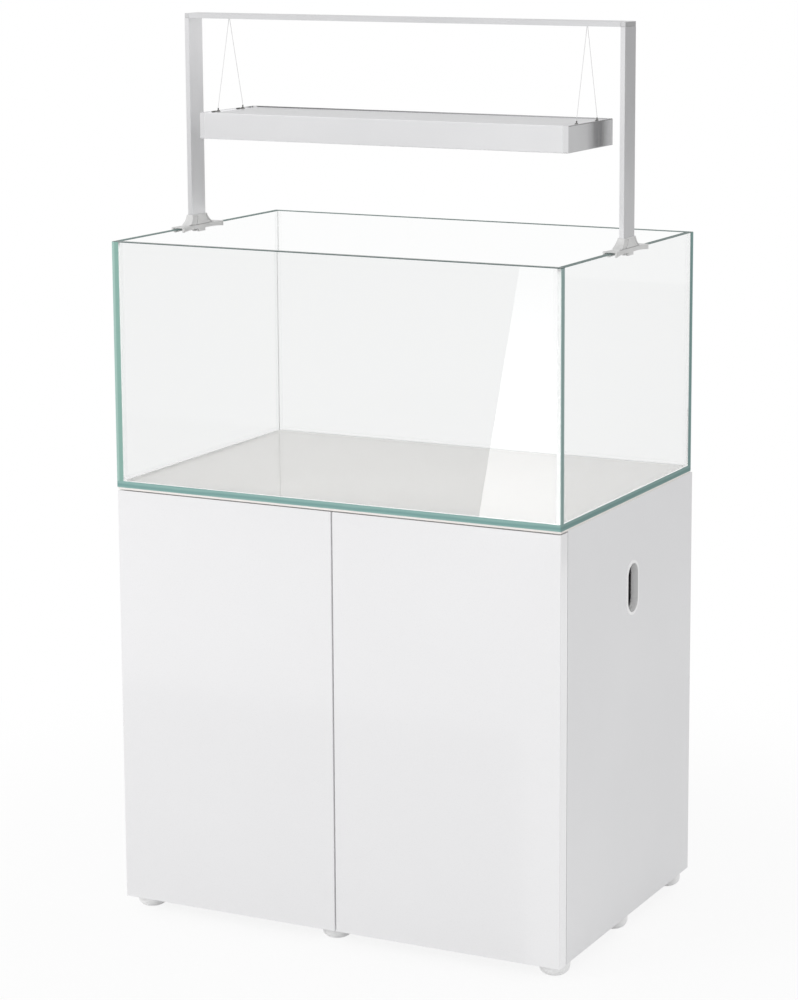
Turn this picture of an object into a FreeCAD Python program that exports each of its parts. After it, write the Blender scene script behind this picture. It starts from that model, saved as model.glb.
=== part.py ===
import FreeCAD, Part
import math
import os

# Aquarium on a two-door cabinet, with a hanging lamp on a stand that sits on the tank's rim.
# Millimetres. X runs along the width, the front faces -Y, +Z is up.
# The origin is on the floor, at the middle of the cabinet's width and of its depth over the doors.

V = FreeCAD.Vector
X_AXIS = V(1, 0, 0)
Y_AXIS = V(0, 1, 0)
Z_AXIS = V(0, 0, 1)

# Tank
tank_width = 900.0
tank_depth = 600.0
pane_height = 445.0
glass = 12.0
base_glass = 12.0
rim_chamfer = 1.0
bead_radius = 8.0
mat_thickness = 4.0
mat_inset = 1.0

# Cabinet carcass
cabinet_depth = 608.0
carcass_height = 787.0
board = 18.0
back_thickness = 8.0
cutout_width = 120.0
cutout_height = 60.0
cutout_drop = 20.0
cutout_corner = 12.0

# Cable slot in the right side panel
slot_width = 46.0
slot_height = 91.0
slot_rise = 624.0
grommet_wall = 2.0
grommet_flange = 4.0
grommet_lip = 1.5
grommet_round = 1.0
grommet_clearance = 0.2
rebate_depth = 5.5
rebate_margin = 8.0

# Cam fittings that hold the boards together
cam_radius = 7.5
cam_depth = 13.0
cam_setback = 34.0
cam_inset = 60.0
bolt_radius = 3.0
bolt_bite = 11.0
bolt_tip = 3.0
fitting_clearance = 0.15

# Levelling feet
foot_height = 25.0
foot_radius = 28.0
foot_base_radius = 14.0
foot_skirt = 7.0
foot_top_gap = 1.0
foot_side_inset = 30.0
foot_front_inset = 16.0
foot_rear_inset = 40.0
foot_middle_shift = -20.0
stud_radius = 5.0
stud_bite = 15.0
stud_clearance = 0.3
socket_radius = 8.0
socket_depth = 16.0

# Doors
door_thickness = 28.0
door_back_gap = 2.0
door_top_gap = 2.0
door_middle_gap = 3.0
door_edge_round = 1.2

# Cup hinges, measured from the outer face of the side panel and from the carcass front
hinge_end_inset = 95.0
arm_pin_x = 30.0
arm_pin_y = -12.0
cup_pin_x = 11.0
cup_pin_y = -6.0
cup_centre_x = 21.0
cup_radius = 17.5
cup_wall = 1.2
cup_depth = 15.0
cup_flange = 1.0
cup_flange_rim = 2.0
cup_wing_width = 14.0
cup_wing_reach = 29.0
cup_clearance = 0.1
pin_radius = 1.5
pin_clearance = 0.3
eye_radius = 3.2
link_thickness = 2.6
link_half_width = 5.0
cheek_thickness = 2.5
cheek_gap = 0.3
arm_length = 60.0
arm_height = 8.0
arm_step = 10.0
plate_thickness = 3.0
plate_half_width = 20.0
plate_start = 22.0

# Push latches under the top panel
latch_width = 12.0
latch_height = 14.0
latch_length = 60.0
latch_setback = 3.0
latch_offset = 26.0
plunger_radius = 3.0
plunger_bore_clearance = 0.3
plunger_grip = 38.0
plunger_travel = 4.0
plunger_tip_gap = 0.3
strike_radius = 8.0
strike_thickness = 0.8

# Lamp stand of flat hollow bar
bar_thickness = 9.0
bar_width = 48.0
bar_wall = 1.5
stand_rise = 403.0
stand_shift = -10.0
tongue_length = 30.0
tongue_clearance = 0.2
corner_chamfer = 0.6

# Clip feet that straddle the rim
pad_thickness = 1.0
pad_half_length = 56.0
clip_clearance = 0.2
clip_wall = 3.5
clip_half_length = 72.0
clip_roof_half_length = 50.0
clip_socket_height = 22.0
clip_socket_wall = 2.0
clip_socket_fit = 0.1
clip_floor = 3.0
clip_wing_rise = 3.0
clip_skirt_drop = 4.5
clip_tip_drop = 6.5
clip_flare = 4.0
clip_hollow = 5.3
clip_rib = 2.5
clip_recess = 1.2
clip_boss_half = 7.0
clip_boss_foot_half = 18.0
clip_groove = 1.4
clip_groove_depth = 2.2
clip_ledge = 0.6
clip_straight = 26.0
clip_tab_half = 12.0
clip_tab_drop = 10.0

# Hanging lamp
lamp_side_gap = 75.0
lamp_width = 198.0
lamp_height = 48.5
lamp_drop = 179.0
lamp_wall = 3.0
lamp_roof = 2.0
lamp_round = 1.5
lamp_rim = 3.0
lamp_recess = 2.0
lamp_recess_round = 8.0
lip_width = 6.0
lip_thickness = 2.0
cap_length = 10.0
diffuser_thickness = 3.0
diffuser_clearance = 0.3
led_board_width = 130.0
led_board_thickness = 1.6
led_board_end_gap = 15.0
led_size = 5.0
led_height = 0.8
led_rows = 3
led_columns = 24
gland_radius = 8.0
gland_length = 14.0
gland_bore = 3.5
gland_inset = 70.0

# Suspension wires
wire_radius = 0.6
wire_inset = 8.0
wire_spread = 45.0
wire_top_spread = 2.0
wire_end_gap = 0.3
anchor_radius = 3.2
anchor_height = 1.0
anchor_stud_radius = 2.0
anchor_stud_bite = 4.0
anchor_stud_clearance = 0.1
gripper_radius = 4.8
gripper_shoulder_radius = 2.2
gripper_cone_height = 3.0
gripper_stem_radius = 1.3
gripper_stem_height = 4.0

# Levels and faces worked out from the sizes above
half_width = tank_width / 2
cabinet_front = -cabinet_depth / 2
cabinet_rear = cabinet_depth / 2
carcass_front = cabinet_front + door_thickness + door_back_gap
door_back = carcass_front - door_back_gap
carcass_bottom = foot_height
carcass_top = carcass_bottom + carcass_height
inner_bottom = carcass_bottom + board
inner_top = carcass_top - board
inner_half = half_width - board
back_face = cabinet_rear - back_thickness
tank_front = cabinet_front
tank_rear = tank_front + tank_depth
tank_bottom = carcass_top + mat_thickness
tank_floor = tank_bottom + base_glass
rim = tank_floor + pane_height
door_top = carcass_top - door_top_gap
stand_y = (tank_front + tank_rear) / 2 + stand_shift
stand_top = rim + stand_rise
bar_bottom = stand_top - bar_thickness
lamp_bottom = stand_top - lamp_drop - lamp_height
lamp_top = lamp_bottom + lamp_height
lamp_length = tank_width - 2 * lamp_side_gap
lamp_half = lamp_length / 2
housing_half = lamp_half - cap_length
wire_x = lamp_half - wire_inset
gripper_foot = lamp_top - lamp_recess
gripper_top = gripper_foot + gripper_cone_height + gripper_stem_height
anchor_bottom = bar_bottom - anchor_height
slot_y = (carcass_front + cabinet_rear) / 2
slot_z = carcass_bottom + slot_rise
plunger_z = inner_top - latch_height / 2
hinge_heights = (
    carcass_bottom + hinge_end_inset,
    (carcass_bottom + door_top) / 2,
    door_top - hinge_end_inset,
)


def block(x0, x1, y0, y1, z0, z1):
    """A box between two corners."""
    return Part.makeBox(x1 - x0, y1 - y0, z1 - z0, V(x0, y0, z0))


def rod(radius, start, end):
    """A round bar from one point to another."""
    run = end - start
    return Part.makeCylinder(radius, run.Length, start, run)


def mirrored(shape):
    """The right-hand twin of a left-hand piece."""
    return shape.mirror(V(0, 0, 0), X_AXIS)


def both_sides(shapes):
    """Left-hand pieces with their right-hand twins."""
    return shapes + [mirrored(shape) for shape in shapes]


def less(shape, cutters):
    """A shape with a list of cutters taken away."""
    return shape.cut(Part.makeCompound(cutters))


def group(shapes):
    """Several separate solids in one node."""
    return Part.makeCompound(shapes)


def long_edges(shape, axis):
    """The straight edges that run along one axis."""
    return [edge for edge in shape.Edges if abs(edge.tangentAt(edge.FirstParameter).dot(axis)) > 0.99]


def edges_on(shape, axis, level):
    """The edges that lie in the plane at one level of an axis."""
    found = []
    for edge in shape.Edges:
        if all(abs(vertex.Point.dot(axis) - level) < 1e-6 for vertex in edge.Vertexes):
            found.append(edge)
    return found


def profile(points, push):
    """A face through points, pushed along a vector. A point given in a pair is the middle of an arc."""
    edges = []
    here = points[0]
    middle = None
    for point in points[1:] + points[:1]:
        if isinstance(point, tuple):
            middle = point[0]
            continue
        if middle is None:
            edges.append(Part.makeLine(here, point))
        else:
            edges.append(Part.Arc(here, middle, point).toShape())
        here = point
        middle = None
    return Part.Face(Part.Wire(edges)).extrude(push)


def oblong(width, height, x0, x1):
    """An upright slot shape with round ends, pushed along X."""
    radius = width / 2
    run = height / 2 - radius
    points = [
        V(x0, slot_y - radius, slot_z - run),
        (V(x0, slot_y, slot_z - height / 2),),
        V(x0, slot_y + radius, slot_z - run),
        V(x0, slot_y + radius, slot_z + run),
        (V(x0, slot_y, slot_z + height / 2),),
        V(x0, slot_y - radius, slot_z + run),
    ]
    return profile(points, V(x1 - x0, 0, 0))


def make_tank():
    """Five panes on a full base pane, with silicone beads in the inner corners."""
    front_inner = tank_front + glass
    rear_inner = tank_rear - glass
    side_inner = half_width - glass

    def pane(x0, x1, y0, y1):
        sheet = block(x0, x1, y0, y1, tank_floor, rim)
        return sheet.makeChamfer(rim_chamfer, edges_on(sheet, Z_AXIS, rim))

    left_pane = pane(-half_width, -side_inner, front_inner, rear_inner)
    inside = block(-side_inner, side_inner, front_inner, rear_inner, tank_floor, rim - rim_chamfer)
    bead_edges = edges_on(inside, Z_AXIS, tank_floor) + long_edges(inside, Z_AXIS)
    return {
        "base_pane": block(-half_width, half_width, tank_front, tank_rear, tank_bottom, tank_floor),
        "front_pane": pane(-half_width, half_width, tank_front, front_inner),
        "rear_pane": pane(-half_width, half_width, rear_inner, tank_rear),
        "left_pane": left_pane,
        "right_pane": mirrored(left_pane),
        "silicone_seams": inside.cut(inside.makeFillet(bead_radius, bead_edges)),
    }


def cam_joint(end, inward, face):
    """A cam, its bolt and their holes. The cam sits in the board that starts at end and runs inward."""
    centre = end + inward * cam_setback
    mouth = centre + face * (board / 2)
    bolt_start = end - inward * bolt_bite
    bolt_hole = rod(bolt_radius + fitting_clearance, bolt_start, centre)
    cam = rod(cam_radius, mouth, mouth - face * cam_depth).cut(bolt_hole)
    cam_hole = rod(cam_radius + fitting_clearance, mouth, mouth - face * cam_depth)
    bolt = rod(bolt_radius, bolt_start, centre - inward * bolt_tip)
    return cam, bolt, group([cam_hole, bolt_hole])


def make_carcass():
    """Boards, cam fittings, back panel, cable grommet, mat and the sockets for the feet."""
    cams = []
    bolts = []
    holes = []
    for y in (carcass_front + cam_inset, back_face - cam_inset):
        for z, face in ((carcass_bottom + board / 2, Z_AXIS), (carcass_top - board / 2, -Z_AXIS)):
            for side in (-1, 1):
                fitting = cam_joint(V(side * inner_half, y, z), V(-side, 0, 0), face)
                cams.append(fitting[0])
                bolts.append(fitting[1])
                holes.append(fitting[2])
            level = inner_bottom if face.z > 0 else inner_top
            fitting = cam_joint(V(0, y, level), face, -X_AXIS)
            cams.append(fitting[0])
            bolts.append(fitting[1])
            holes.append(fitting[2])

    sockets = []
    socket_holes = []
    for x, y in foot_places().values():
        base = V(x, y, carcass_bottom)
        bore = rod(stud_radius + stud_clearance, base, base + Z_AXIS * socket_depth)
        sockets.append(rod(socket_radius, base, base + Z_AXIS * socket_depth).cut(bore))
        socket_holes.append(rod(socket_radius + fitting_clearance, base, base + Z_AXIS * socket_depth))

    side = block(-half_width, -inner_half, carcass_front, cabinet_rear, carcass_bottom, carcass_top)
    level_board = block(-inner_half, inner_half, carcass_front, cabinet_rear, 0, board)
    top = level_board.translated(V(0, 0, inner_top))
    bottom = level_board.translated(V(0, 0, carcass_bottom))
    partition = block(-board / 2, board / 2, carcass_front, back_face, inner_bottom, inner_top)

    sleeve_width = slot_width + 2 * grommet_wall
    sleeve_height = slot_height + 2 * grommet_wall
    sleeve_start = inner_half + rebate_depth
    slot_cut = oblong(
        sleeve_width + 2 * grommet_clearance, sleeve_height + 2 * grommet_clearance, sleeve_start, half_width
    )
    rebate = oblong(
        sleeve_width + 2 * rebate_margin, sleeve_height + 2 * rebate_margin, inner_half, sleeve_start
    )
    flange = oblong(
        sleeve_width + 2 * grommet_flange,
        sleeve_height + 2 * grommet_flange,
        half_width,
        half_width + grommet_lip,
    )
    flange = flange.makeFillet(grommet_round, edges_on(flange, X_AXIS, half_width + grommet_lip))
    sleeve = oblong(sleeve_width, sleeve_height, sleeve_start, half_width)
    grommet_bore = oblong(slot_width, slot_height, sleeve_start, half_width + grommet_lip)

    back = block(-inner_half, inner_half, back_face, cabinet_rear, inner_bottom, inner_top)
    cutout_top = inner_top - cutout_drop
    bay_middle = (inner_half + board / 2) / 2
    cutout = block(
        -bay_middle - cutout_width / 2,
        -bay_middle + cutout_width / 2,
        back_face,
        cabinet_rear,
        cutout_top - cutout_height,
        cutout_top,
    )
    cutout = cutout.makeFillet(cutout_corner, long_edges(cutout, Y_AXIS))

    mat = block(
        -half_width + mat_inset,
        half_width - mat_inset,
        tank_front + mat_inset,
        tank_rear - mat_inset,
        carcass_top,
        tank_bottom,
    )
    return {
        "left_side_panel": less(side, holes),
        "right_side_panel": less(mirrored(side), holes + [slot_cut, rebate]),
        "top_panel": less(top, holes),
        "bottom_panel": less(bottom, holes + socket_holes),
        "centre_partition": less(partition, holes),
        "back_panel": less(back, both_sides([cutout])),
        "cable_grommet": flange.fuse(sleeve).cut(grommet_bore).removeSplitter(),
        "cam_locks": group(cams),
        "cam_bolts": group(bolts),
        "leveller_sockets": group(sockets),
        "tank_mat": mat,
    }


def foot_places():
    """The feet stand in three rows of three. The middle column stands clear of the partition's bolts."""
    columns = {
        "left": -half_width + foot_side_inset,
        "middle": foot_middle_shift,
        "right": half_width - foot_side_inset,
    }
    front = carcass_front + foot_front_inset
    rear = cabinet_rear - foot_rear_inset
    rows = {"front": front, "centre": (front + rear) / 2, "rear": rear}
    return {f"foot_{row}_{column}": (x, y) for row, y in rows.items() for column, x in columns.items()}


def make_feet():
    """Bowl-shaped levelling feet, each turned in one piece with its stud."""
    top = foot_height - foot_top_gap
    shoulder = top - foot_skirt
    bulge = math.sqrt(0.5)
    middle = V(
        foot_base_radius + (foot_radius - foot_base_radius) * bulge, 0, shoulder * (1 - bulge)
    )
    points = [
        V(0, 0, 0),
        V(foot_base_radius, 0, 0),
        (middle,),
        V(foot_radius, 0, shoulder),
        V(foot_radius, 0, top),
        V(stud_radius, 0, top),
        V(stud_radius, 0, foot_height + stud_bite),
        V(0, 0, foot_height + stud_bite),
    ]
    half_section = profile(points, V(0, 1, 0)).Faces
    section = [face for face in half_section if abs(face.CenterOfMass.y) < 1e-6][0]
    foot = section.revolve(V(0, 0, 0), Z_AXIS, 360)
    return {name: foot.translated(V(x, y, 0)) for name, (x, y) in foot_places().items()}


def hinge_point(x, y, z):
    """A point given from the left side panel's outer face and the carcass front."""
    return V(x - half_width, y + carcass_front, z)


def upright(radius, x, y, z, half_length):
    """A pin or bore along Z at a hinge, centred on its height."""
    return rod(radius, hinge_point(x, y, z - half_length), hinge_point(x, y, z + half_length))


def hinge_cup(z):
    """The cup in the door's back, with its mounting wings and its pin."""
    mouth = hinge_point(cup_centre_x, -door_back_gap, z)
    outer = rod(cup_radius, mouth, mouth - Y_AXIS * cup_depth)
    rim_disc = rod(cup_radius + cup_flange_rim, mouth, mouth + Y_AXIS * cup_flange)
    wings = block(
        mouth.x,
        mouth.x + cup_wing_width,
        mouth.y,
        mouth.y + cup_flange,
        z - cup_wing_reach,
        z + cup_wing_reach,
    )
    cavity = rod(cup_radius - cup_wall, mouth + Y_AXIS * cup_flange, mouth - Y_AXIS * (cup_depth - cup_wall))
    reach = abs(cup_centre_x - cup_pin_x) + pin_radius
    pin_half = math.sqrt((cup_radius - cup_wall) ** 2 - reach**2)
    pin = upright(pin_radius, cup_pin_x, cup_pin_y, z, pin_half)
    return [outer.fuse([rim_disc, wings]).cut(cavity).removeSplitter(), pin]


def hinge_link(z):
    """The link between the arm's pin and the cup's pin, with the arm's pin pressed into it."""
    arm_pin = V(arm_pin_x, arm_pin_y, 0)
    cup_pin = V(cup_pin_x, cup_pin_y, 0)
    run = cup_pin - arm_pin
    bar = Part.makeBox(run.Length, link_thickness, 2 * link_half_width, V(0, -link_thickness / 2, 0))
    bar.rotate(V(0, 0, 0), Z_AXIS, math.degrees(math.atan2(run.y, run.x)))
    bar.translate(hinge_point(arm_pin_x, arm_pin_y, z - link_half_width))
    eyes = [
        upright(eye_radius, arm_pin_x, arm_pin_y, z, link_half_width),
        upright(eye_radius, cup_pin_x, cup_pin_y, z, link_half_width),
    ]
    bores = [
        upright(pin_radius + fitting_clearance, arm_pin_x, arm_pin_y, z, link_half_width),
        upright(pin_radius + pin_clearance, cup_pin_x, cup_pin_y, z, link_half_width),
    ]
    pin_half = link_half_width + cheek_gap + cheek_thickness
    return [less(bar.fuse(eyes), bores), upright(pin_radius, arm_pin_x, arm_pin_y, z, pin_half)]


def hinge_arm(z):
    """A channel with two cheeks that reach into the cup and a web over its mounting plate."""
    low = board + plate_thickness
    high = low + arm_height + cheek_thickness
    points = [
        hinge_point(low, arm_length, 0),
        hinge_point(low, arm_step, 0),
        hinge_point(arm_pin_x - eye_radius, arm_pin_y, 0),
        (hinge_point(arm_pin_x, arm_pin_y - eye_radius, 0),),
        hinge_point(arm_pin_x + eye_radius, arm_pin_y, 0),
        hinge_point(arm_pin_x + eye_radius, 0, 0),
        hinge_point(high, arm_step, 0),
        hinge_point(high, arm_length, 0),
    ]
    inner = link_half_width + cheek_gap
    cheek = profile(points, V(0, 0, cheek_thickness))
    cheeks = [cheek.translated(V(0, 0, z + inner)), cheek.translated(V(0, 0, z - inner - cheek_thickness))]
    web_start = hinge_point(high - cheek_thickness, arm_step, z - inner)
    web = Part.makeBox(cheek_thickness, arm_length - arm_step, 2 * inner, web_start)
    pin_half = inner + cheek_thickness
    bore = upright(pin_radius + pin_clearance, arm_pin_x, arm_pin_y, z, pin_half)
    return web.fuse(cheeks).cut(bore).removeSplitter()


def hinge_plate(z):
    """The mounting plate on the side panel's inner face, under the arm."""
    start = hinge_point(board, plate_start, z - plate_half_width)
    plate = Part.makeBox(plate_thickness, arm_length - plate_start, 2 * plate_half_width, start)
    return plate.makeFillet(plate_thickness / 2, long_edges(plate, X_AXIS))


def make_doors():
    """Doors with bored cups, hinge hardware and push latches."""
    leaf = block(
        -half_width, -door_middle_gap / 2, cabinet_front, door_back, carcass_bottom, door_top
    )
    leaf = leaf.makeFillet(door_edge_round, edges_on(leaf, Y_AXIS, cabinet_front))
    bores = []
    for z in hinge_heights:
        mouth = hinge_point(cup_centre_x, -door_back_gap, z)
        depth = cup_depth + cup_clearance
        bores.append(rod(cup_radius + cup_clearance, mouth, mouth - Y_AXIS * depth))
    leaf = less(leaf, bores)
    cups = group([piece for z in hinge_heights for piece in hinge_cup(z)])
    links = group([piece for z in hinge_heights for piece in hinge_link(z)])

    housing_front = carcass_front + latch_setback
    axis_point = V(-latch_offset, 0, plunger_z)
    strike_face = door_back + strike_thickness
    strike = rod(strike_radius, axis_point + Y_AXIS * door_back, axis_point + Y_AXIS * strike_face)
    plunger_tip = strike_face + plunger_tip_gap
    plunger_end = housing_front + plunger_grip
    plunger = rod(plunger_radius, axis_point + Y_AXIS * plunger_tip, axis_point + Y_AXIS * plunger_end)
    housing = block(
        -latch_offset - latch_width / 2,
        -latch_offset + latch_width / 2,
        housing_front,
        housing_front + latch_length,
        inner_top - latch_height,
        inner_top,
    )
    latch_bore = rod(
        plunger_radius + plunger_bore_clearance,
        axis_point + Y_AXIS * housing_front,
        axis_point + Y_AXIS * (plunger_end + plunger_travel),
    )
    housing = housing.cut(latch_bore)

    moving = {
        "door": leaf,
        "hinge_cups": cups,
        "hinge_links": links,
        "strike_plate": strike,
        "latch_plunger": plunger,
    }
    nodes = {}
    for name, shape in moving.items():
        nodes["left_" + name] = shape
        nodes["right_" + name] = mirrored(shape)
    nodes["hinge_arms"] = group(both_sides([hinge_arm(z) for z in hinge_heights]))
    nodes["hinge_plates"] = group(both_sides([hinge_plate(z) for z in hinge_heights]))
    nodes["latch_housings"] = group(both_sides([housing]))
    return nodes


def clip_foot():
    """The left clip foot: a flared neck on a wing over the rim, with a skirt and a tab on each side of the pane."""
    outer_face = -half_width - clip_clearance
    inner_face = -half_width + glass + clip_clearance
    roof_start = outer_face - clip_wall
    roof_end = inner_face + clip_wall
    seat = rim + pad_thickness
    socket_top = rim + clip_socket_height
    socket_half = bar_width / 2 + clip_socket_wall
    post_middle = -half_width + bar_thickness / 2
    neck = bar_thickness / 2 + clip_socket_wall
    wing_top = rim + clip_wing_rise
    half = clip_half_length
    bend = (clip_straight + half) / 2

    def at_y(y, z):
        return V(roof_start, stand_y + y, z)

    def hollow(side, wing, shoulder, depth):
        """The middle of a hollow curve, pushed in from the straight line between its ends."""
        inward = (wing - shoulder).cross(X_AXIS * side).normalize()
        return (wing + shoulder) / 2 + inward * depth

    def neck_outline(foot_y, foot_z, top_y, top_z, depth):
        """The neck from the side: a straight top, and a hollow curve down to each foot."""
        left_foot = at_y(-foot_y, foot_z)
        left_top = at_y(-top_y, top_z)
        right_top = at_y(top_y, top_z)
        right_foot = at_y(foot_y, foot_z)
        return [
            left_foot,
            (hollow(-1, left_foot, left_top, depth),),
            left_top,
            right_top,
            (hollow(1, right_foot, right_top, depth),),
            right_foot,
        ]

    across = V(roof_end - roof_start, 0, 0)
    curve = neck_outline(clip_roof_half_length, wing_top, socket_half, socket_top, clip_hollow)
    seat_edge = [at_y(clip_roof_half_length, seat), at_y(-clip_roof_half_length, seat)]
    flare = profile(curve + seat_edge, across)

    def taper(inset):
        """The neck from the front, narrowed by an inset on each side."""
        front = stand_y - clip_roof_half_length
        points = [
            V(roof_start + inset, front, seat),
            V(roof_start + inset, front, wing_top),
            V(post_middle - neck + inset, front, socket_top),
            V(post_middle + neck - inset, front, socket_top),
            V(roof_end - inset, front, wing_top),
            V(roof_end - inset, front, seat),
        ]
        return profile(points, V(0, 2 * clip_roof_half_length, 0))

    # The recess between the ribs and the boss in its middle keep the curvature of the neck's outline.
    recess_bottom = wing_top + clip_groove + clip_ledge
    recess_top = socket_top - clip_rib
    outer_run = math.hypot(clip_roof_half_length - socket_half, socket_top - wing_top)

    def relief(foot_half, top_half):
        """A smaller neck outline, right through the roof."""
        run = math.hypot(foot_half - top_half, recess_top - recess_bottom)
        depth = clip_hollow * (run / outer_run) ** 2
        return profile(neck_outline(foot_half, recess_bottom, top_half, recess_top, depth), across)

    recess = relief((clip_roof_half_length + socket_half) / 2, socket_half - clip_rib)
    recess = recess.cut(relief(clip_boss_foot_half, clip_boss_half))
    groove = block(
        roof_start,
        roof_end,
        stand_y - clip_roof_half_length,
        stand_y + clip_roof_half_length,
        wing_top,
        wing_top + clip_groove,
    )
    cuts = [recess.cut(taper(clip_recess)), groove.cut(taper(clip_groove_depth))]
    roof = less(flare.common(taper(0)), cuts)

    def along_pane(face, away, offset, z):
        """A line beside the pane, straight in the middle, whose ends curl away from the glass."""
        # A quarter of the flare at the middle of the curl keeps its arc tangent to the straight part.
        curl = clip_flare / 4

        def at(out, y):
            return V(face + away * (offset + out), stand_y + y, z)

        return [
            at(clip_flare, -half),
            (at(curl, -bend),),
            at(0, -clip_straight),
            at(0, clip_straight),
            (at(curl, bend),),
            at(clip_flare, half),
        ]

    outer_edge = along_pane(outer_face, -1, clip_wall, seat)
    inner_edge = along_pane(inner_face, 1, clip_wall, seat)
    wing = profile(outer_edge + inner_edge[::-1], V(0, 0, wing_top - seat))

    skirt_z = rim - clip_skirt_drop
    bend_z = skirt_z + (clip_skirt_drop - clip_tip_drop) / 4
    skirt_points = [
        at_y(-half, rim - clip_tip_drop),
        at_y(-half, wing_top),
        at_y(half, wing_top),
        at_y(half, rim - clip_tip_drop),
        (at_y(bend, bend_z),),
        at_y(clip_straight, skirt_z),
        at_y(-clip_straight, skirt_z),
        (at_y(-bend, bend_z),),
    ]
    room = clip_flare + clip_wall
    skirt_side = profile(skirt_points, V(roof_end - roof_start + 2 * room, 0, 0))
    skirt_side.translate(V(-room, 0, 0))

    def skirt(face, away):
        """A skirt along the pane, with a tab in its middle."""
        lowest = rim - max(clip_skirt_drop, clip_tip_drop)
        outline = along_pane(face, away, 0, lowest) + along_pane(face, away, clip_wall, lowest)[::-1]
        plate = profile(outline, V(0, 0, wing_top - lowest)).common(skirt_side)
        edge = sorted((face, face + away * clip_wall))
        tab = block(
            edge[0], edge[1], stand_y - clip_tab_half, stand_y + clip_tab_half, rim - clip_tab_drop, seat
        )
        return plate.fuse(tab)

    body = roof.fuse([wing, skirt(outer_face, -1), skirt(inner_face, 1)]).removeSplitter()
    fit = clip_socket_fit
    pocket = block(
        -half_width - fit,
        -half_width + bar_thickness + fit,
        stand_y - bar_width / 2 - fit,
        stand_y + bar_width / 2 + fit,
        rim + clip_floor,
        socket_top,
    )
    return body.cut(pocket)


def hollow_bar(x0, x1, z0, z1, along):
    """Flat hollow bar with its wide side along Y, open at both ends."""
    y0 = stand_y - bar_width / 2
    y1 = stand_y + bar_width / 2
    wall = bar_wall
    outer = block(x0, x1, y0, y1, z0, z1)
    if along == X_AXIS:
        inner = block(x0, x1, y0 + wall, y1 - wall, z0 + wall, z1 - wall)
    else:
        inner = block(x0 + wall, x1 - wall, y0 + wall, y1 - wall, z0, z1)
    return outer.cut(inner)


def make_stand():
    """Two posts and a top bar joined by corner blocks, on clip feet over the side panes."""
    inner_x = -half_width + bar_thickness
    post = hollow_bar(-half_width, inner_x, rim + clip_floor, bar_bottom, Z_AXIS)
    top_bar = hollow_bar(inner_x, -inner_x, bar_bottom, stand_top, X_AXIS)
    inset = bar_wall + tongue_clearance
    y0 = stand_y - bar_width / 2
    y1 = stand_y + bar_width / 2
    corner = block(-half_width, inner_x, y0, y1, bar_bottom, stand_top)
    corner = corner.makeChamfer(corner_chamfer, corner.Edges)
    down = block(
        -half_width + inset, inner_x - inset, y0 + inset, y1 - inset, bar_bottom - tongue_length, bar_bottom
    )
    across = block(
        inner_x, inner_x + tongue_length, y0 + inset, y1 - inset, bar_bottom + inset, stand_top - inset
    )
    corner = corner.fuse([down, across]).removeSplitter()
    pad = block(
        -half_width,
        -half_width + glass,
        stand_y - pad_half_length,
        stand_y + pad_half_length,
        rim,
        rim + pad_thickness,
    )
    clip = clip_foot()

    anchor_foot = V(-wire_x, stand_y, anchor_bottom)
    seat = V(-wire_x, stand_y, bar_bottom)
    stud_top = V(-wire_x, stand_y, bar_bottom + anchor_stud_bite)
    anchor = rod(anchor_radius, anchor_foot, seat).fuse(rod(anchor_stud_radius, seat, stud_top))
    stud_hole = rod(anchor_stud_radius + anchor_stud_clearance, seat, stud_top)
    nodes = {
        "left_post": post,
        "right_post": mirrored(post),
        "top_bar": less(top_bar, both_sides([stud_hole])),
        "left_corner_block": corner,
        "right_corner_block": mirrored(corner),
        "left_clip_foot": clip,
        "right_clip_foot": mirrored(clip),
        "clip_pads": group(both_sides([pad])),
        "wire_anchors": group(both_sides([anchor])),
    }
    for name, toward in (("front", -1), ("rear", 1)):
        high = V(-wire_x, stand_y + toward * wire_top_spread, anchor_bottom - wire_end_gap)
        low = V(-wire_x, stand_y + toward * wire_spread, gripper_top + wire_end_gap)
        wire = rod(wire_radius, low, high)
        nodes[f"wire_left_{name}"] = wire
        nodes[f"wire_right_{name}"] = mirrored(wire)
    return nodes


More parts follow.
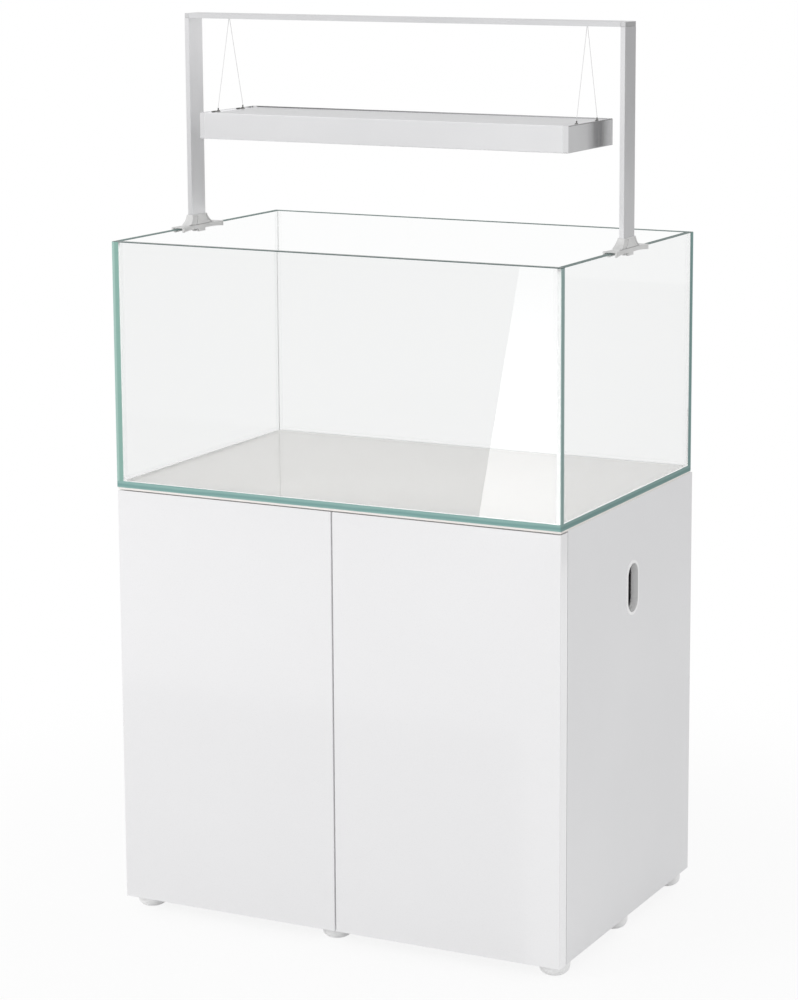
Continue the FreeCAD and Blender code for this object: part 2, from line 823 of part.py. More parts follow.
def make_lamp():
    """An extruded housing with end caps, a diffuser, an LED board and wire grippers in its sunken top."""
    y0 = stand_y - lamp_width / 2
    y1 = stand_y + lamp_width / 2
    solid = block(-housing_half, housing_half, y0, y1, lamp_bottom, lamp_top)
    solid = solid.makeFillet(lamp_round, long_edges(solid, X_AXIS))
    inner_y0 = y0 + lamp_wall
    inner_y1 = y1 - lamp_wall
    lip_top = lamp_bottom + lip_thickness
    roof = lamp_top - lamp_recess - lamp_roof
    hollow = block(-housing_half, housing_half, inner_y0, inner_y1, lip_top, roof)
    window = block(
        -housing_half, housing_half, inner_y0 + lip_width, inner_y1 - lip_width, lamp_bottom, lip_top
    )
    recess_half = lamp_half - lamp_rim
    recess = block(-recess_half, recess_half, y0 + lamp_rim, y1 - lamp_rim, lamp_top - lamp_recess, lamp_top)
    recess = recess.makeFillet(lamp_recess_round, long_edges(recess, Z_AXIS))
    cap = block(-lamp_half, -housing_half, y0, y1, lamp_bottom, lamp_top)
    cap = cap.makeFillet(lamp_round, long_edges(cap, X_AXIS) + edges_on(cap, X_AXIS, -lamp_half))
    cap = cap.cut(recess)
    diffuser = block(
        -housing_half,
        housing_half,
        inner_y0 + diffuser_clearance,
        inner_y1 - diffuser_clearance,
        lip_top,
        lip_top + diffuser_thickness,
    )

    board_half = housing_half - led_board_end_gap
    board_bottom = roof - led_board_thickness
    led_board = block(
        -board_half,
        board_half,
        stand_y - led_board_width / 2,
        stand_y + led_board_width / 2,
        board_bottom,
        roof,
    )
    chips = []
    column_pitch = 2 * board_half / led_columns
    row_pitch = led_board_width / led_rows
    for column in range(led_columns):
        for row in range(led_rows):
            x = -board_half + (column + 0.5) * column_pitch - led_size / 2
            y = stand_y - led_board_width / 2 + (row + 0.5) * row_pitch - led_size / 2
            chips.append(
                block(x, x + led_size, y, y + led_size, board_bottom - led_height, board_bottom)
            )

    gland_foot = V(-housing_half + gland_inset, y1, (lamp_bottom + lamp_top) / 2)
    gland_end = gland_foot + Y_AXIS * gland_length
    gland = rod(gland_radius, gland_foot, gland_end).cut(rod(gland_bore, gland_foot, gland_end))

    grippers = []
    for toward in (-1, 1):
        foot = V(-wire_x, stand_y + toward * wire_spread, gripper_foot)
        shoulder = foot + Z_AXIS * gripper_cone_height
        cone = Part.makeCone(gripper_radius, gripper_shoulder_radius, gripper_cone_height, foot)
        stem = rod(gripper_stem_radius, shoulder, shoulder + Z_AXIS * gripper_stem_height)
        grippers.append(cone.fuse(stem))
    return {
        "lamp_housing": less(solid, [hollow, window, recess]),
        "left_end_cap": cap,
        "right_end_cap": mirrored(cap),
        "diffuser": diffuser,
        "led_board": led_board.fuse(chips),
        "cable_gland": gland,
        "wire_grippers": group(both_sides(grippers)),
    }


nodes = {}
for make in (make_carcass, make_feet, make_tank, make_stand, make_lamp, make_doors):
    nodes.update(make())

os.makedirs("parts", exist_ok=True)
for node, shape in nodes.items():
    shape.exportStep(f"parts/{node}.step")
print(len(nodes), "nodes written")
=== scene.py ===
import bpy
import math
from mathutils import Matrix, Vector


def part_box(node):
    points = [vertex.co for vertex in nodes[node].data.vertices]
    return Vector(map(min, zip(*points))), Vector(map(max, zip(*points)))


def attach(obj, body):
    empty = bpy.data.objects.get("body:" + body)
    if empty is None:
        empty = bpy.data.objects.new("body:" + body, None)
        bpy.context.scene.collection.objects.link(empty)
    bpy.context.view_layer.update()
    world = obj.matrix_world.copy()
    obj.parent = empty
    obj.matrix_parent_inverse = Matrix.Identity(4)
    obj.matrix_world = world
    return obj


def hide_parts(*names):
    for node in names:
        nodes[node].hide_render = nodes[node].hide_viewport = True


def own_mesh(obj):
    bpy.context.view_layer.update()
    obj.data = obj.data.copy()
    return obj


# Looks for an aquarium on a two-door cabinet, with a hanging lamp. Metres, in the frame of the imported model.
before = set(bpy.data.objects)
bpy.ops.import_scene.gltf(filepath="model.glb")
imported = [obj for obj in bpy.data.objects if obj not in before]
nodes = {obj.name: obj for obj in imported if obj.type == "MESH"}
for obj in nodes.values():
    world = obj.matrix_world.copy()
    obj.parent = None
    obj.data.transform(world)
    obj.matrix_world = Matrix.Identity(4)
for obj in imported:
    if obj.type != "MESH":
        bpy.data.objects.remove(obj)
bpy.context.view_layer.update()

# Camera
CAMERA_PLACE = (2.4408, -4.7311, 1.8921)
CAMERA_YAW_DEG = 25.471
CAMERA_PITCH_DEG = 9.883
CAMERA_LENS_MM = 104.043
CAMERA_SHIFT = (-0.1, -0.1)

# Light
WHITE = (1.0, 1.0, 1.0, 1.0)
AMBIENT = 0.80
KEY_PLACE = (-2.6, -4.2, 3.4)
KEY_TARGET = (0.0, 0.0, 0.9)
KEY_SIZE = 3.0
KEY_POWER = 80.0

# Floor: it glows less near the object, so that the shadow stays. The fade is a pair of distances.
FLOOR_SIZE = 40.0
FLOOR_COLOUR = (0.86, 0.86, 0.86, 1.0)
FLOOR_ROUGHNESS = 0.9
FLOOR_GLOW_NEAR = 0.88
FLOOR_FADE = (0.55, 1.7)


def upright(y, across, height):
    """The corners of a card that stands across the Y axis, from its limits along X and Z."""
    (left, right), (low, high) = across, height
    return (left, y, low), (right, y, low), (right, y, high), (left, y, high)


# Cards that only reflections see: four corners and a brightness. The front pane mirrors the front card and the glare
# card, which meet along a slanting line. The cards behind shade the right pane, the posts, and the lamp's top and end
# cap.
FRONT_Y = -3.2
FRONT_FOOT, FRONT_TOP = 0.12, 0.88
GLARE_FOOT = (-1.114, FRONT_Y, FRONT_FOOT)
GLARE_TOP = (-0.98, FRONT_Y, FRONT_TOP)
FLOOR_CARD_Z = 0.004
BACK_Y = 1.5
RIGHT_BACK = (0.35, 2.2)
POST_Y = 1.46
POST_ACROSS = (0.1, 0.75)
CAP_HEIGHT = (1.24, 1.44)
CARDS = {
    "floor_card": (((-1.6, -1.65, FLOOR_CARD_Z), (-0.26, -1.65, FLOOR_CARD_Z),
                    (0.36, -0.36, FLOOR_CARD_Z), (-0.7, -0.36, FLOOR_CARD_Z)), 0.40),
    "front_card": (((-3.3, FRONT_Y, FRONT_FOOT), GLARE_FOOT, GLARE_TOP, (-3.3, FRONT_Y, FRONT_TOP)), 0.12),
    # This one is brighter at its foot than at its top.
    "glare_card": ((GLARE_FOOT, (-0.80, FRONT_Y, FRONT_FOOT), (-0.80, FRONT_Y, FRONT_TOP), GLARE_TOP), 2.9, 1.0),
    "pane_card": (upright(BACK_Y, RIGHT_BACK, (0.3, 1.0)), 0.45),
    "low_card": (upright(BACK_Y, RIGHT_BACK, (1.0, 1.25)), 0.60),
    "high_card": (upright(BACK_Y, RIGHT_BACK, (1.25, 2.2)), 0.26),
    "post_low_card": (upright(POST_Y, POST_ACROSS, (1.06, 1.44)), 0.40),
    "post_high_card": (upright(POST_Y, POST_ACROSS, (1.44, 1.95)), 1.35),
    "back_card": (upright(BACK_Y, (-1.7, 0.35), (1.35, 2.3)), 0.62),
    "lamp_card": (upright(1.49, (1.028, 1.12), CAP_HEIGHT), 0.70),
    "band_card": (upright(1.48, (0.990, 1.026), CAP_HEIGHT), 0.09),
    "end_card": (upright(1.47, (0.94, 0.988), CAP_HEIGHT), 0.70),
}
CARD_HIDDEN_FROM = ("camera", "diffuse", "transmission", "shadow", "volume_scatter")

# Suspension wires
WIRE_STRANDS = 3
WIRE_STRAND_RADIUS = 0.00023
WIRE_LAY_RADIUS = 0.00025
WIRE_PITCH = 0.006
WIRE_STEPS_PER_PITCH = 10
WIRE_SIDES = 6

# The part of a noise's range that is used
NOISE_LOW, NOISE_HIGH = 0.3, 0.7
NOISE_DETAIL = 3.0


def add(tree, kind, inputs=None, **settings):
    """A shader node with its settings and inputs. An input is a value or another node's output."""
    made = tree.nodes.new("ShaderNode" + kind)
    for key, value in settings.items():
        setattr(made, key, value)
    for key, value in (inputs or {}).items():
        socket = made.inputs[key]
        if isinstance(value, bpy.types.NodeSocket):
            tree.links.new(value, socket)
        else:
            socket.default_value = value
    return made


def link(tree, output, node, name):
    """Feeds one input of a node."""
    tree.links.new(output, node.inputs[name])


def show(tree, surface):
    """Puts a shader on the material's output."""
    link(tree, surface, tree.nodes["Output"], "Surface")


def empty_material(name):
    """A material with nothing but its output."""
    made = bpy.data.materials.new(name)
    made.use_nodes = True
    made.node_tree.nodes.clear()
    add(made.node_tree, "OutputMaterial", name="Output")
    return made, made.node_tree


def new_material(name):
    """A material with one Principled shader."""
    made, tree = empty_material(name)
    shader = add(tree, "BsdfPrincipled")
    show(tree, shader.outputs["BSDF"])
    return made, tree, shader


def place_in(tree):
    """The place on the object, as X, Y and Z."""
    return add(tree, "SeparateXYZ", {0: add(tree, "TexCoord").outputs["Object"]}).outputs


def noise(tree, scale, stretch=(1, 1, 1)):
    """Noise in the object's own coordinates, in features per metre, drawn out along an axis by a small factor."""
    place = add(tree, "TexCoord").outputs["Object"]
    scaled = add(tree, "VectorMath", {0: place, 1: stretch}, operation="MULTIPLY").outputs[0]
    return add(tree, "TexNoise", {"Vector": scaled, "Scale": scale, "Detail": NOISE_DETAIL}).outputs["Fac"]


def ramp(tree, factor, low, high, start=NOISE_LOW, end=NOISE_HIGH):
    """A colour that runs from low to high with a factor."""
    made = add(tree, "ValToRGB", {"Fac": factor})
    first, last = made.color_ramp.elements
    first.position, last.position = start, end
    first.color, last.color = (*low, 1.0), (*high, 1.0)
    return made.outputs["Color"]


def spread(tree, value, start, end, low=0.0, high=1.0, kind="LINEAR"):
    """A number that runs from low to high while a value runs from start to end."""
    limits = {"Value": value, "From Min": start, "From Max": end, "To Min": low, "To Max": high}
    return add(tree, "MapRange", limits, interpolation_type=kind).outputs["Result"]


def uneven(tree, factor, low, high):
    """A number that runs from low to high with a noise."""
    return spread(tree, factor, NOISE_LOW, NOISE_HIGH, low, high)


def bump(tree, shader, height, depth):
    """Bumps of a depth in metres."""
    made = add(tree, "Bump", {"Height": height, "Distance": depth, "Strength": 1.0})
    link(tree, made.outputs["Normal"], shader, "Normal")


def mixed(tree, factor, first, second):
    """A colour between two others."""
    return add(tree, "Mix", {0: factor, 6: first, 7: second}, data_type="RGBA").outputs[2]


def count(tree, operation, *values):
    """A sum, a product, a wave or a test of numbers."""
    return add(tree, "Math", dict(enumerate(values)), operation=operation).outputs[0]


def above(tree, value, limit):
    """1 where a value is over a limit, and 0 elsewhere."""
    return count(tree, "GREATER_THAN", value, limit)


def below(tree, value, limit):
    """1 where a value is under a limit, and 0 elsewhere."""
    return count(tree, "LESS_THAN", value, limit)


def both(tree, first, second):
    """1 where two masks hold."""
    return count(tree, "MULTIPLY", first, second)


def either(tree, first, second):
    """1 where one of two masks holds."""
    return count(tree, "MAXIMUM", first, second)


def without(tree, mask):
    """1 where a mask doesn't hold."""
    return below(tree, mask, 0.5)


def finish_of(name, low, high, rough, mottle, grain, depth, metallic=0.0, stretch=(1, 1, 1), **fixed):
    """A surface with a mottled colour, an uneven roughness and a fine grain. mottle and grain are features per metre,
    and extra values go to the shader."""
    made, tree, shader = new_material(name)
    shader.inputs["Metallic"].default_value = metallic
    for key, value in fixed.items():
        shader.inputs[key].default_value = value
    fine = noise(tree, grain, stretch)
    link(tree, ramp(tree, noise(tree, mottle), low, high), shader, "Base Color")
    link(tree, uneven(tree, fine, *rough), shader, "Roughness")
    bump(tree, shader, fine, depth)
    return made


# Glass: the tint of a face, and two tones for each kind of edge. The sea-green of the edges is the glass's own colour,
# but the tones are painted light and shade: each kind of edge is painted lighter or darker by which way it faces and on
# which pane it lies. Ends that are glued to another pane are painted pale, as painted light through the clear glass,
# but for the rear end of the right pane. The left end of the front pane is painted onto its own face as a strip, a
# painted view of that end through the glass, with a painted lighter outer line.
GLASS_FACE = (0.980, 0.984, 0.983, 1.0)
EDGE_FRONT = ((0.20, 0.36, 0.345), (0.28, 0.46, 0.43))
EDGE_SIDE = ((0.17, 0.29, 0.275), (0.24, 0.37, 0.355))
EDGE_TOP = ((0.11, 0.165, 0.157), (0.165, 0.225, 0.215))
EDGE_TOP_FRONT = ((0.015, 0.05, 0.045), (0.04, 0.09, 0.083))
EDGE_TOP_LEFT = ((0.16, 0.225, 0.212), (0.22, 0.295, 0.28))
EDGE_TOP_REAR = ((0.20, 0.26, 0.25), (0.26, 0.32, 0.31))
EDGE_PALE = ((0.95, 0.97, 0.96), (0.98, 0.99, 0.985))
EDGE_STRIP = ((0.38, 0.57, 0.52), (0.25, 0.44, 0.385))
EDGE_STRIP_SHARE = 1.15
EDGE_STRIP_STEP = (0.28, 0.42)
EDGE_ROUGHNESS = 0.5

# How far each kind of edge reaches from its end of the pane
EDGE_SKIN = 0.0002
EDGE_BEVEL = 0.0015
EDGE_BEVEL_REAR = 0.003
EDGE_RIM = 0.00105
EDGE_RIM_FRONT = 0.0015

# Lines along an edge: how much they wander, how often that repeats in a metre, and the turn across the pane in radians
LINE_WANDER = 0.5
LINE_WANDER_SCALE = 9.0
LINE_TURN = 7.5

# Smudges on a face: features per metre, the part of the noise that shows, and the roughness
SMUDGE_SCALE = 5.0
SMUDGE_NOISE = (0.55, 0.8)
SMUDGE_ROUGHNESS = 0.012

# Air round each pane
PANE_GAP = 0.00005


def glass(name, thin_axis, low, high, front_end, rear_end, top, rim, ior, coat, stripped):
    """Clear glass with sea-green edges, whose tones are painted light and shade. low and high are the pane's lowest and
    highest corners, the ends and the top are painted tones, rim is the height of the tinted top, and stripped says that
    the front face has a painted strip over its left end."""
    made, tree, shader = new_material(name)
    shader.inputs["IOR"].default_value = ior
    shader.inputs["Coat Weight"].default_value = coat
    shader.inputs["Coat Roughness"].default_value = 0.0
    axis = "XYZ".index(thin_axis)
    place = place_in(tree)

    across = spread(tree, place[axis], low[axis], high[axis])
    wander = count(tree, "MULTIPLY_ADD", noise(tree, LINE_WANDER_SCALE), LINE_WANDER, across)
    waves = count(tree, "SINE", count(tree, "MULTIPLY", wander, LINE_TURN))
    lines = spread(tree, waves, -1.0, 1.0)

    # The ends are tinted from outside only. The lower ends stay clear, and mirror what is beside the pane.
    outer = without(tree, add(tree, "NewGeometry").outputs["Backfacing"])
    front = both(tree, outer, below(tree, place["Y"], low.y + EDGE_SKIN))
    rear = both(tree, outer, above(tree, place["Y"], high.y - EDGE_BEVEL_REAR))
    left = both(tree, outer, below(tree, place["X"], low.x + EDGE_SKIN))
    right = both(tree, outer, above(tree, place["X"], high.x - EDGE_BEVEL))
    edges = []
    if thin_axis != "Y":
        edges += [(front, front_end), (rear, rear_end)]
    if thin_axis != "X":
        edges.append((either(tree, left, right), EDGE_SIDE))
    if thin_axis != "Z":
        edges.append((above(tree, place["Z"], high.z - rim), top))
    colour = GLASS_FACE
    tinted = 0.0
    # Each edge takes its tone of painted light and shade.
    for mask, tones in edges:
        colour = mixed(tree, mask, colour, ramp(tree, lines, *tones, 0.0, 1.0))
        tinted = either(tree, tinted, mask)
    lit = without(tree, tinted)
    # A painted strip: the left end as it shows through the front face, with a painted lighter outer line.
    if stripped:
        width = (high[axis] - low[axis]) * EDGE_STRIP_SHARE
        inward = spread(tree, place["X"], low.x, low.x + width)
        strip = both(tree, front, below(tree, inward, 1.0))
        colour = mixed(tree, strip, colour, ramp(tree, inward, *EDGE_STRIP, *EDGE_STRIP_STEP))
        tinted = either(tree, tinted, strip)
    clear = without(tree, tinted)
    link(tree, colour, shader, "Base Color")
    link(tree, clear, shader, "Transmission Weight")
    ground = spread(tree, clear, 0.0, 1.0, EDGE_ROUGHNESS, 0.0)
    smudges = spread(tree, noise(tree, SMUDGE_SCALE), *SMUDGE_NOISE, 0.0, SMUDGE_ROUGHNESS)
    link(tree, count(tree, "ADD", ground, smudges), shader, "Roughness")

    # Lamps reach what is behind the glass.
    through = both(tree, add(tree, "LightPath").outputs["Is Shadow Ray"], lit)
    pass_on = add(tree, "BsdfTransparent", {"Color": GLASS_FACE})
    surface = add(tree, "MixShader", {0: through, 1: shader.outputs["BSDF"], 2: pass_on.outputs["BSDF"]})
    show(tree, surface.outputs[0])
    return made


# Plain finishes: two tones, roughness, mottles and grains per metre, the grain's depth, the share of metal and the
# grain's stretch
BOARD = finish_of("white_board", (0.84, 0.84, 0.85), (0.87, 0.87, 0.88), (0.42, 0.52), 2.5, 900, 0.00004)
MAT = finish_of("white_foam", (0.89, 0.855, 0.825), (0.93, 0.895, 0.865), (0.75, 0.9), 30, 1400, 0.0002)
WHITE_PLASTIC = finish_of(
    "white_plastic", (0.86, 0.86, 0.86), (0.90, 0.90, 0.90), (0.3, 0.42), 20, 1200, 0.00003)
# White plastic painted brighter than white_plastic, as painted light: the grommet and the feet sit in shade.
LIT_WHITE_PLASTIC = finish_of(
    "lit_white_plastic", (0.96, 0.96, 0.96), (0.98, 0.98, 0.98), (0.3, 0.42), 20, 1200, 0.00003)
BLACK_PLASTIC = finish_of(
    "black_plastic", (0.02, 0.02, 0.02), (0.035, 0.035, 0.035), (0.4, 0.55), 40, 1500, 0.00005)
STEEL = finish_of(
    "plated_steel", (0.62, 0.62, 0.63), (0.72, 0.72, 0.73), (0.2, 0.32), 60, 900, 0.00002, 1.0)
ZINC = finish_of(
    "cast_zinc", (0.55, 0.55, 0.56), (0.66, 0.66, 0.67), (0.35, 0.5), 80, 1200, 0.00005, 1.0)
NICKEL = finish_of(
    "dark_nickel", (0.16, 0.16, 0.155), (0.26, 0.26, 0.25), (0.25, 0.4), 120, 1500, 0.00003, 1.0)
WIRE = finish_of(
    "steel_wire", (0.70, 0.70, 0.70), (0.80, 0.80, 0.80), (0.3, 0.45), 90, 2000, 0.00001, 0.5)
SILVER = finish_of(
    "silver_plastic", (0.69, 0.69, 0.685), (0.76, 0.76, 0.755), (0.38, 0.5), 25, 1600, 0.00005, 0.15)
CAP = finish_of(
    "polished_cap", (0.70, 0.70, 0.71), (0.76, 0.76, 0.77), (0.05, 0.09), 8, 900, 0.000001, 1.0, (1, 1, 0.02))
OPAL = finish_of(
    "opal_plastic", (0.90, 0.91, 0.92), (0.94, 0.95, 0.96), (0.4, 0.5), 12, 900, 0.0001, 0.0, (0.02, 1, 1))
PAD = finish_of("clear_pad", (0.74, 0.75, 0.74), (0.82, 0.83, 0.82), (0.5, 0.6), 30, 900, 0.00005)
SILICONE = finish_of(
    "clear_silicone", (0.80, 0.83, 0.82), (0.88, 0.90, 0.89), (0.25, 0.4), 14, 300, 0.0001, Alpha=0.03)

# Anodised aluminium, with fine drawing lines along the bar
DRAWN_ROUGHNESS = (0.30, 0.42)
DRAWN_MOTTLE = 4
DRAWN_GRAIN = 1100
DRAWN_DEPTH = 0.000012
DRAWN_METAL = 0.8
DRAWN_STRETCH = 0.01


def aluminium(name, low, high, along):
    """Satin anodised aluminium, drawn along an axis."""
    stretch = tuple(DRAWN_STRETCH if axis == along else 1.0 for axis in "XYZ")
    return finish_of(
        name, low, high, DRAWN_ROUGHNESS, DRAWN_MOTTLE, DRAWN_GRAIN, DRAWN_DEPTH, DRAWN_METAL, stretch)


POST = aluminium("anodised_post", (0.76, 0.76, 0.77), (0.82, 0.82, 0.83), "Z")
BAR = aluminium("anodised_bar", (0.70, 0.70, 0.71), (0.76, 0.76, 0.77), "X")
HOUSING = aluminium("anodised_housing", (0.81, 0.81, 0.82), (0.86, 0.86, 0.87), "X")
CORNER = aluminium("silver_corner", (0.66, 0.66, 0.665), (0.71, 0.71, 0.715), "Y")

# The lamp's sunken top: the rim round it, its depth, and the painted shade on its rear wall, a dark line, with the part
# of the length over which that fades
LAMP_RIM = 0.003
LAMP_RECESS = 0.002
LAMP_WALL_SHADE = ((0.22, 0.22, 0.225), (0.55, 0.55, 0.56))
LAMP_WALL_SHADE_FADE = (0.2, 1.0)


def add_lamp_wall_shade():
    """Painted shade: a dark line on the rear wall of the lamp's sunken top, which fades to the right."""
    tree = HOUSING.node_tree
    shader = tree.nodes["Principled BSDF"]
    low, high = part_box("lamp_housing")
    place = place_in(tree)
    wall_y = high.y - LAMP_RIM
    wall = both(tree, above(tree, place["Y"], wall_y - EDGE_SKIN), below(tree, place["Y"], wall_y + EDGE_SKIN))
    wall = both(tree, wall, above(tree, place["Z"], high.z - LAMP_RECESS))
    along = spread(tree, place["X"], low.x, high.x)
    plain = shader.inputs["Base Color"].links[0].from_socket
    line = ramp(tree, along, *LAMP_WALL_SHADE, *LAMP_WALL_SHADE_FADE)
    # Painted shade on the recess's rear wall
    link(tree, mixed(tree, wall, plain, line), shader, "Base Color")


# Paints shade on the rear wall of the lamp's sunken top.
add_lamp_wall_shade()

# Doors: two tones for the face and for the edge band, with their mottles per metre, the coat, and the fine grain
DOOR_FACE = ((0.865, 0.863, 0.872), (0.885, 0.883, 0.892))
DOOR_FACE_MOTTLE = 1.6
DOOR_BAND = ((0.955, 0.953, 0.962), (0.972, 0.970, 0.979))
DOOR_BAND_MOTTLE = 12.0
DOOR_COAT = 0.8
DOOR_COAT_ROUGHNESS = 0.1
DOOR_GRAIN = 700
DOOR_ROUGHNESS = (0.26, 0.34)
DOOR_DEPTH = 0.00002


def door_material():
    """Satin lacquer, with brighter edge bands."""
    made, tree, shader = new_material("white_door")
    shader.inputs["Coat Weight"].default_value = DOOR_COAT
    shader.inputs["Coat Roughness"].default_value = DOOR_COAT_ROUGHNESS
    face = ramp(tree, noise(tree, DOOR_FACE_MOTTLE), *DOOR_FACE)
    band = ramp(tree, noise(tree, DOOR_BAND_MOTTLE), *DOOR_BAND)
    normal = add(tree, "VectorMath", {0: add(tree, "TexCoord").outputs["Normal"]}, operation="ABSOLUTE")
    forward = add(tree, "SeparateXYZ", {0: normal.outputs[0]}).outputs["Y"]
    edge = without(tree, forward)
    link(tree, mixed(tree, edge, face, band), shader, "Base Color")
    fine = noise(tree, DOOR_GRAIN)
    link(tree, uneven(tree, fine, *DOOR_ROUGHNESS), shader, "Roughness")
    bump(tree, shader, fine, DOOR_DEPTH)
    return made


# Light board: the tones of its chips and of the board, the share of its height where they meet, and the fine grain
LED_TONES = ((0.85, 0.72, 0.25), (0.9, 0.9, 0.88))
LED_STEP = (0.30, 0.34)
LED_GRAIN = 800
LED_ROUGHNESS = (0.35, 0.5)
LED_DEPTH = 0.00003


def led_material():
    """A white circuit board with yellow light chips on its underside."""
    made, tree, shader = new_material("led_board")
    low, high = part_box("led_board")
    height = spread(tree, place_in(tree)["Z"], low.z, high.z)
    link(tree, ramp(tree, height, *LED_TONES, *LED_STEP), shader, "Base Color")
    fine = noise(tree, LED_GRAIN)
    link(tree, uneven(tree, fine, *LED_ROUGHNESS), shader, "Roughness")
    bump(tree, shader, fine, LED_DEPTH)
    return made


def paint(material, *names):
    """Gives CAD nodes one material."""
    for name in names:
        slots = nodes[name].data.materials
        slots.clear()
        slots.append(material)


# Panes: the thin axis, the tones of the front end, the rear end and the top, which are painted light and shade, the
# height of the tinted top, the index of refraction, the coat, and whether the painted strip shows
PANES = {
    "base_pane": ("Z", EDGE_FRONT, EDGE_FRONT, EDGE_TOP, EDGE_RIM, 1.25, 0.0, False),
    "front_pane": ("Y", EDGE_FRONT, EDGE_FRONT, EDGE_TOP_FRONT, EDGE_RIM_FRONT, 1.5, 1.0, True),
    "rear_pane": ("Y", EDGE_FRONT, EDGE_FRONT, EDGE_TOP_REAR, EDGE_RIM, 1.2, 0.0, False),
    "left_pane": ("X", EDGE_PALE, EDGE_PALE, EDGE_TOP_LEFT, EDGE_RIM, 1.2, 0.0, False),
    "right_pane": ("X", EDGE_PALE, EDGE_SIDE, EDGE_TOP, EDGE_RIM, 1.5, 0.0, False),
}
for pane, (axis, *looks) in PANES.items():
    paint(glass("glass_" + pane, axis, *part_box(pane), *looks), pane)
    # A hair of air keeps faces that touch from lying in one plane.
    gap = nodes[pane].modifiers.new("pane_gap", "DISPLACE")
    gap.strength = -PANE_GAP
    gap.mid_level = 0.0

SIDES = ("left", "right")
FEET = [name for name in nodes if name.startswith("foot_")]


def pair(piece):
    """The names of a piece on the left and on the right."""
    return [f"{side}_{piece}" for side in SIDES]


paint(BOARD, *pair("side_panel"), "top_panel", "bottom_panel", "centre_partition", "back_panel")
paint(door_material(), *pair("door"))
paint(MAT, "tank_mat")
paint(SILICONE, "silicone_seams")
paint(LIT_WHITE_PLASTIC, "cable_grommet", *FEET)
paint(WHITE_PLASTIC, "latch_housings", *pair("latch_plunger"))
paint(ZINC, "cam_locks")
paint(STEEL, "cam_bolts", "leveller_sockets", "hinge_arms", "hinge_plates")
paint(STEEL, *pair("hinge_cups"), *pair("hinge_links"), *pair("strike_plate"))
paint(POST, *pair("post"))
paint(BAR, "top_bar")
paint(HOUSING, "lamp_housing")
paint(CAP, *pair("end_cap"), "wire_anchors")
paint(CORNER, *pair("corner_block"))
paint(SILVER, *pair("clip_foot"))
paint(PAD, "clip_pads")
paint(NICKEL, "wire_grippers")
paint(OPAL, "diffuser")
paint(led_material(), "led_board")
paint(BLACK_PLASTIC, "cable_gland")


def mesh_object(name, points, faces, material):
    """A mesh object in the scene."""
    mesh = bpy.data.meshes.new(name)
    mesh.from_pydata(points, [], faces)
    mesh.materials.append(material)
    made = bpy.data.objects.new(name, mesh)
    bpy.context.scene.collection.objects.link(made)
    return made


def twisted_wire(name, low, high):
    """A wire of a few strands laid round each other, from one point to another."""
    run = high - low
    forward = run.normalized()
    across = forward.orthogonal().normalized()
    aside = forward.cross(across)
    steps = math.ceil(run.length / WIRE_PITCH * WIRE_STEPS_PER_PITCH)

    def around(turn, radius):
        return (across * math.cos(turn) + aside * math.sin(turn)) * radius

    points = []
    faces = []
    for strand in range(WIRE_STRANDS):
        start = len(points)
        for step in range(steps + 1):
            share = step / steps
            turn = math.tau * (share * run.length / WIRE_PITCH + strand / WIRE_STRANDS)
            centre = low + run * share + around(turn, WIRE_LAY_RADIUS)
            for side in range(WIRE_SIDES):
                points.append(centre + around(math.tau * side / WIRE_SIDES, WIRE_STRAND_RADIUS))
        for step in range(steps):
            here = start + step * WIRE_SIDES
            above_here = here + WIRE_SIDES
            for side in range(WIRE_SIDES):
                beside = (side + 1) % WIRE_SIDES
                faces.append((here + side, here + beside, above_here + beside, above_here + side))
        faces.append(tuple(range(start + WIRE_SIDES - 1, start - 1, -1)))
        last = start + steps * WIRE_SIDES
        faces.append(tuple(range(last, last + WIRE_SIDES)))
    made = mesh_object(name, points, faces, WIRE)
    for polygon in made.data.polygons:
        polygon.use_smooth = True
    return made


# The wires shorten towards the bar when the lamp goes up.
for side in SIDES:
    for place in ("front", "rear"):
        node = f"wire_{side}_{place}"
        low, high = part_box(node)
        middle_x = (low.x + high.x) / 2
        near_y, far_y = (high.y, low.y) if place == "front" else (low.y, high.y)
        foot = Vector((middle_x, far_y, low.z))
        head = Vector((middle_x, near_y, high.z))
        wire = twisted_wire("strands_" + node, foot, head)
        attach(wire, "stand")
        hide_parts(node)
        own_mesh(wire)


def seen_directly(tree):
    """1 for rays from the camera, and for those that a mirror or a pane passes on."""
    path = add(tree, "LightPath").outputs
    seen = either(tree, path["Is Camera Ray"], path["Is Glossy Ray"])
    return either(tree, seen, path["Is Transmission Ray"])


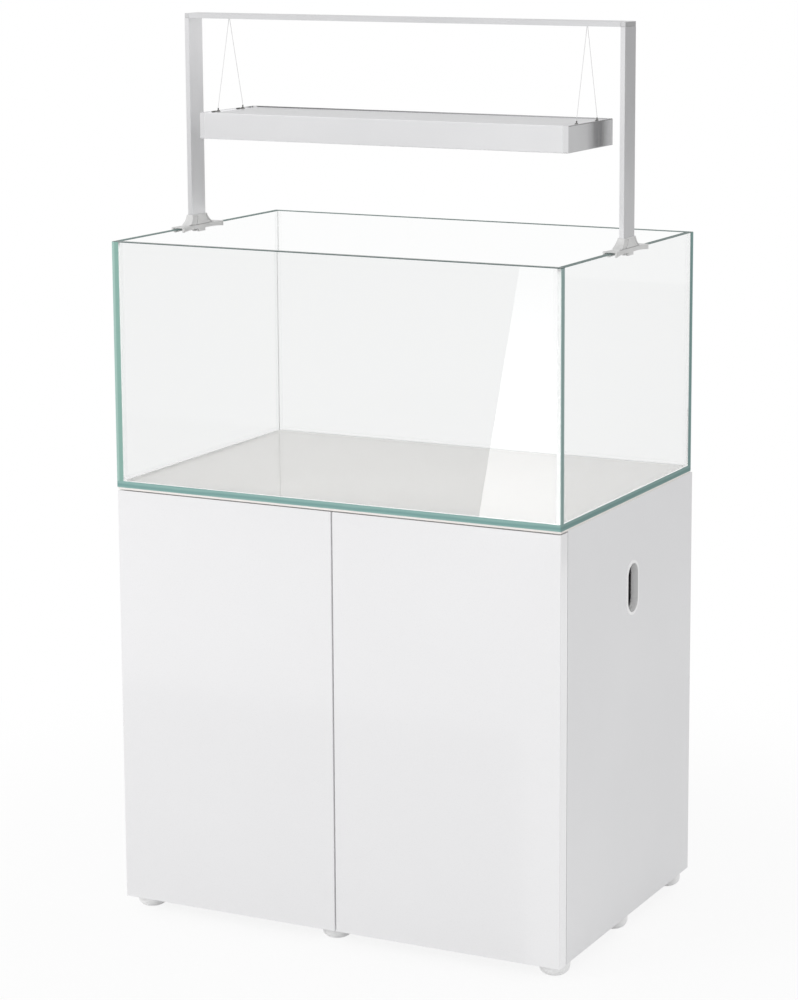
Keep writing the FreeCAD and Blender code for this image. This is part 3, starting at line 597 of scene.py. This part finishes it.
def make_floor():
    """A pale floor that reads as white and keeps a soft shadow."""
    made, tree, shader = new_material("floor")
    shader.inputs["Base Color"].default_value = FLOOR_COLOUR
    shader.inputs["Roughness"].default_value = FLOOR_ROUGHNESS
    glow = add(tree, "Emission", {"Color": WHITE, "Strength": 1.0})
    place = add(tree, "TexCoord").outputs["Object"]
    away = add(tree, "VectorMath", {0: place}, operation="LENGTH").outputs["Value"]
    white = spread(tree, away, *FLOOR_FADE, FLOOR_GLOW_NEAR, 1.0, "SMOOTHSTEP")
    share = both(tree, seen_directly(tree), white)
    surface = add(tree, "MixShader", {0: share, 1: shader.outputs["BSDF"], 2: glow.outputs[0]})
    show(tree, surface.outputs[0])
    half = FLOOR_SIZE / 2
    corners = [(-half, -half, 0), (half, -half, 0), (half, half, 0), (-half, half, 0)]
    mesh_object("floor", corners, [(0, 1, 2, 3)], made)


def make_card(name, corners, level, top_level=None):
    """A studio card that shows only in reflections, with one brightness, or with one at its foot and one at its top."""
    made, tree = empty_material(name)
    glow = add(tree, "Emission", {"Color": WHITE, "Strength": level})
    if top_level is not None:
        foot, top = corners[0][2], corners[2][2]
        link(tree, spread(tree, place_in(tree)["Z"], foot, top, level, top_level), glow, "Strength")
    show(tree, glow.outputs[0])
    card = mesh_object(name, corners, [(0, 1, 2, 3)], made)
    for ray in CARD_HIDDEN_FROM:
        setattr(card, "visible_" + ray, False)


def make_light():
    """An even surround that reads as white, and one large soft lamp from the front left."""
    world = bpy.data.worlds.new("surround")
    bpy.context.scene.world = world
    world.use_nodes = True
    tree = world.node_tree
    tree.nodes.clear()
    strength = spread(tree, seen_directly(tree), 0.0, 1.0, AMBIENT, 1.0)
    surround = add(tree, "Background", {"Color": WHITE, "Strength": strength})
    add(tree, "OutputWorld", {"Surface": surround.outputs[0]})

    key = bpy.data.lights.new("key", "AREA")
    key.size = KEY_SIZE
    key.energy = KEY_POWER
    lamp = bpy.data.objects.new("key", key)
    lamp.location = KEY_PLACE
    lamp.rotation_euler = (Vector(KEY_TARGET) - Vector(KEY_PLACE)).to_track_quat("-Z", "Y").to_euler()
    lamp.visible_glossy = False
    bpy.context.scene.collection.objects.link(lamp)


def make_camera():
    """The camera at the photograph's viewing angle."""
    data = bpy.data.cameras.new("camera")
    data.lens = CAMERA_LENS_MM
    data.shift_x, data.shift_y = CAMERA_SHIFT
    camera = bpy.data.objects.new("camera", data)
    camera.location = CAMERA_PLACE
    camera.rotation_euler = (math.radians(90 - CAMERA_PITCH_DEG), 0, math.radians(CAMERA_YAW_DEG))
    bpy.context.scene.collection.objects.link(camera)
    bpy.context.scene.camera = camera


make_floor()
for card, looks in CARDS.items():
    make_card(card, *looks)
make_light()
make_camera()
bpy.context.scene.view_settings.view_transform = "Standard"
